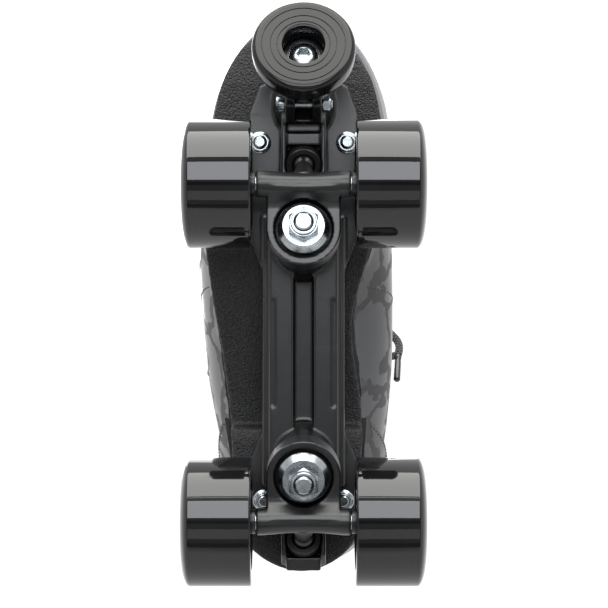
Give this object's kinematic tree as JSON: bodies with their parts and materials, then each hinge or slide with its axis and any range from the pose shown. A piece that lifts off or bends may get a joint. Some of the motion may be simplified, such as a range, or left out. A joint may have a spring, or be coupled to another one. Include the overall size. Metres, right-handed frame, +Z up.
{
  "type": "quad roller skate",
  "caption": "High-top quad roller skate for the right foot, with sprung steering trucks, bearing wheels and an adjustable toe stop.",
  "frame": {"origin": "on the floor under the middle of the skate's overall box, the bow not counted", "axes": "+Y towards the toe, +X to the outer side of the right foot, +Z up"},
  "size_m": [0.1098, 0.2664, 0.246],
  "materials": {
    "urethane": "gloss",
    "nylon": "satin moulded",
    "zinc_steel": "bright zinc plate",
    "bearing_steel": "polished",
    "cushion": "satin",
    "stop_rubber": "gloss moulded",
    "sole_rubber": "pebbled matte",
    "upper_vinyl": "glossy coated, tone-on-tone camouflage",
    "lining": "soft knit",
    "lace": "braided",
    "lace_tip": "gloss"
  },
  "bodies": {
    "chassis": {"plate": "nylon", "front_kingpin": "zinc_steel", "front_kingpin_nut": "zinc_steel", "front_cushion_cup": "zinc_steel", "front_outer_cushion": "cushion", "front_inner_cushion": "cushion", "front_inner_washer": "zinc_steel", "front_pivot_cup": "cushion", "rear_kingpin": "zinc_steel", "rear_kingpin_nut": "zinc_steel", "rear_cushion_cup": "zinc_steel", "rear_outer_cushion": "cushion", "rear_inner_cushion": "cushion", "rear_inner_washer": "zinc_steel", "rear_pivot_cup": "cushion", "toe_stop_pinch_bolt": "zinc_steel", "toe_stop_pinch_nut": "zinc_steel", "front_right_sole_bolt": "zinc_steel", "front_right_sole_nut": "zinc_steel", "front_left_sole_bolt": "zinc_steel", "front_left_sole_nut": "zinc_steel", "rear_right_sole_bolt": "zinc_steel", "rear_right_sole_nut": "zinc_steel", "rear_left_sole_bolt": "zinc_steel", "rear_left_sole_nut": "zinc_steel", "outsole": "sole_rubber", "footbed": "lining", "boot_upper": "upper_vinyl", "tongue": "upper_vinyl", "collar_pad": "lining", "heel_counter": "upper_vinyl", "lacing": "lace", "lace_loop_left": "lace", "lace_loop_right": "lace", "lace_end_left": "lace", "lace_end_right": "lace", "aglet_left": "lace_tip", "aglet_right": "lace_tip"},
    "toe_stop": {"toe_stop_stem": "zinc_steel", "toe_stop_rubber": "stop_rubber"},
    "front_truck": {"front_hanger": "nylon", "front_axle": "zinc_steel", "front_right_axle_nut": "zinc_steel", "front_left_axle_nut": "zinc_steel"},
    "front_right_wheel": {"front_right_wheel": "urethane", "front_right_inner_bearing": "bearing_steel", "front_right_outer_bearing": "bearing_steel"},
    "front_left_wheel": {"front_left_wheel": "urethane", "front_left_inner_bearing": "bearing_steel", "front_left_outer_bearing": "bearing_steel"},
    "rear_truck": {"rear_hanger": "nylon", "rear_axle": "zinc_steel", "rear_right_axle_nut": "zinc_steel", "rear_left_axle_nut": "zinc_steel"},
    "rear_right_wheel": {"rear_right_wheel": "urethane", "rear_right_inner_bearing": "bearing_steel", "rear_right_outer_bearing": "bearing_steel"},
    "rear_left_wheel": {"rear_left_wheel": "urethane", "rear_left_inner_bearing": "bearing_steel", "rear_left_outer_bearing": "bearing_steel"}
  },
  "joints": [
    {"name": "front_truck_steer", "type": "hinge", "parent": "chassis", "child": "front_truck", "pos_m": [0, 0.02851, 0.033], "axis": [0, 0.8563, 0.5165], "range_deg": [-7, 7], "stiffness_Nm_per_rad": 20, "deforming": ["front_inner_cushion", "front_outer_cushion"]},
    {"name": "front_right_wheel_spin", "type": "hinge", "parent": "front_truck", "child": "front_right_wheel", "pos_m": [0, 0.05001, 0.029], "axis": [1, 0, 0], "continuous": true},
    {"name": "front_left_wheel_spin", "type": "hinge", "parent": "front_truck", "child": "front_left_wheel", "pos_m": [0, 0.05001, 0.029], "axis": [1, 0, 0], "continuous": true},
    {"name": "rear_truck_steer", "type": "hinge", "parent": "chassis", "child": "rear_truck", "pos_m": [0, -0.08089, 0.033], "axis": [0, -0.8563, 0.5165], "range_deg": [-7, 7], "stiffness_Nm_per_rad": 20, "deforming": ["rear_inner_cushion", "rear_outer_cushion"]},
    {"name": "rear_right_wheel_spin", "type": "hinge", "parent": "rear_truck", "child": "rear_right_wheel", "pos_m": [0, -0.10239, 0.029], "axis": [1, 0, 0], "continuous": true},
    {"name": "rear_left_wheel_spin", "type": "hinge", "parent": "rear_truck", "child": "rear_left_wheel", "pos_m": [0, -0.10239, 0.029], "axis": [1, 0, 0], "continuous": true},
    {"name": "toe_stop_height", "type": "slide", "parent": "chassis", "child": "toe_stop", "axis": [0, -0.4226, 0.9063], "range_m": [-0.008, 0.004]}
  ]
}
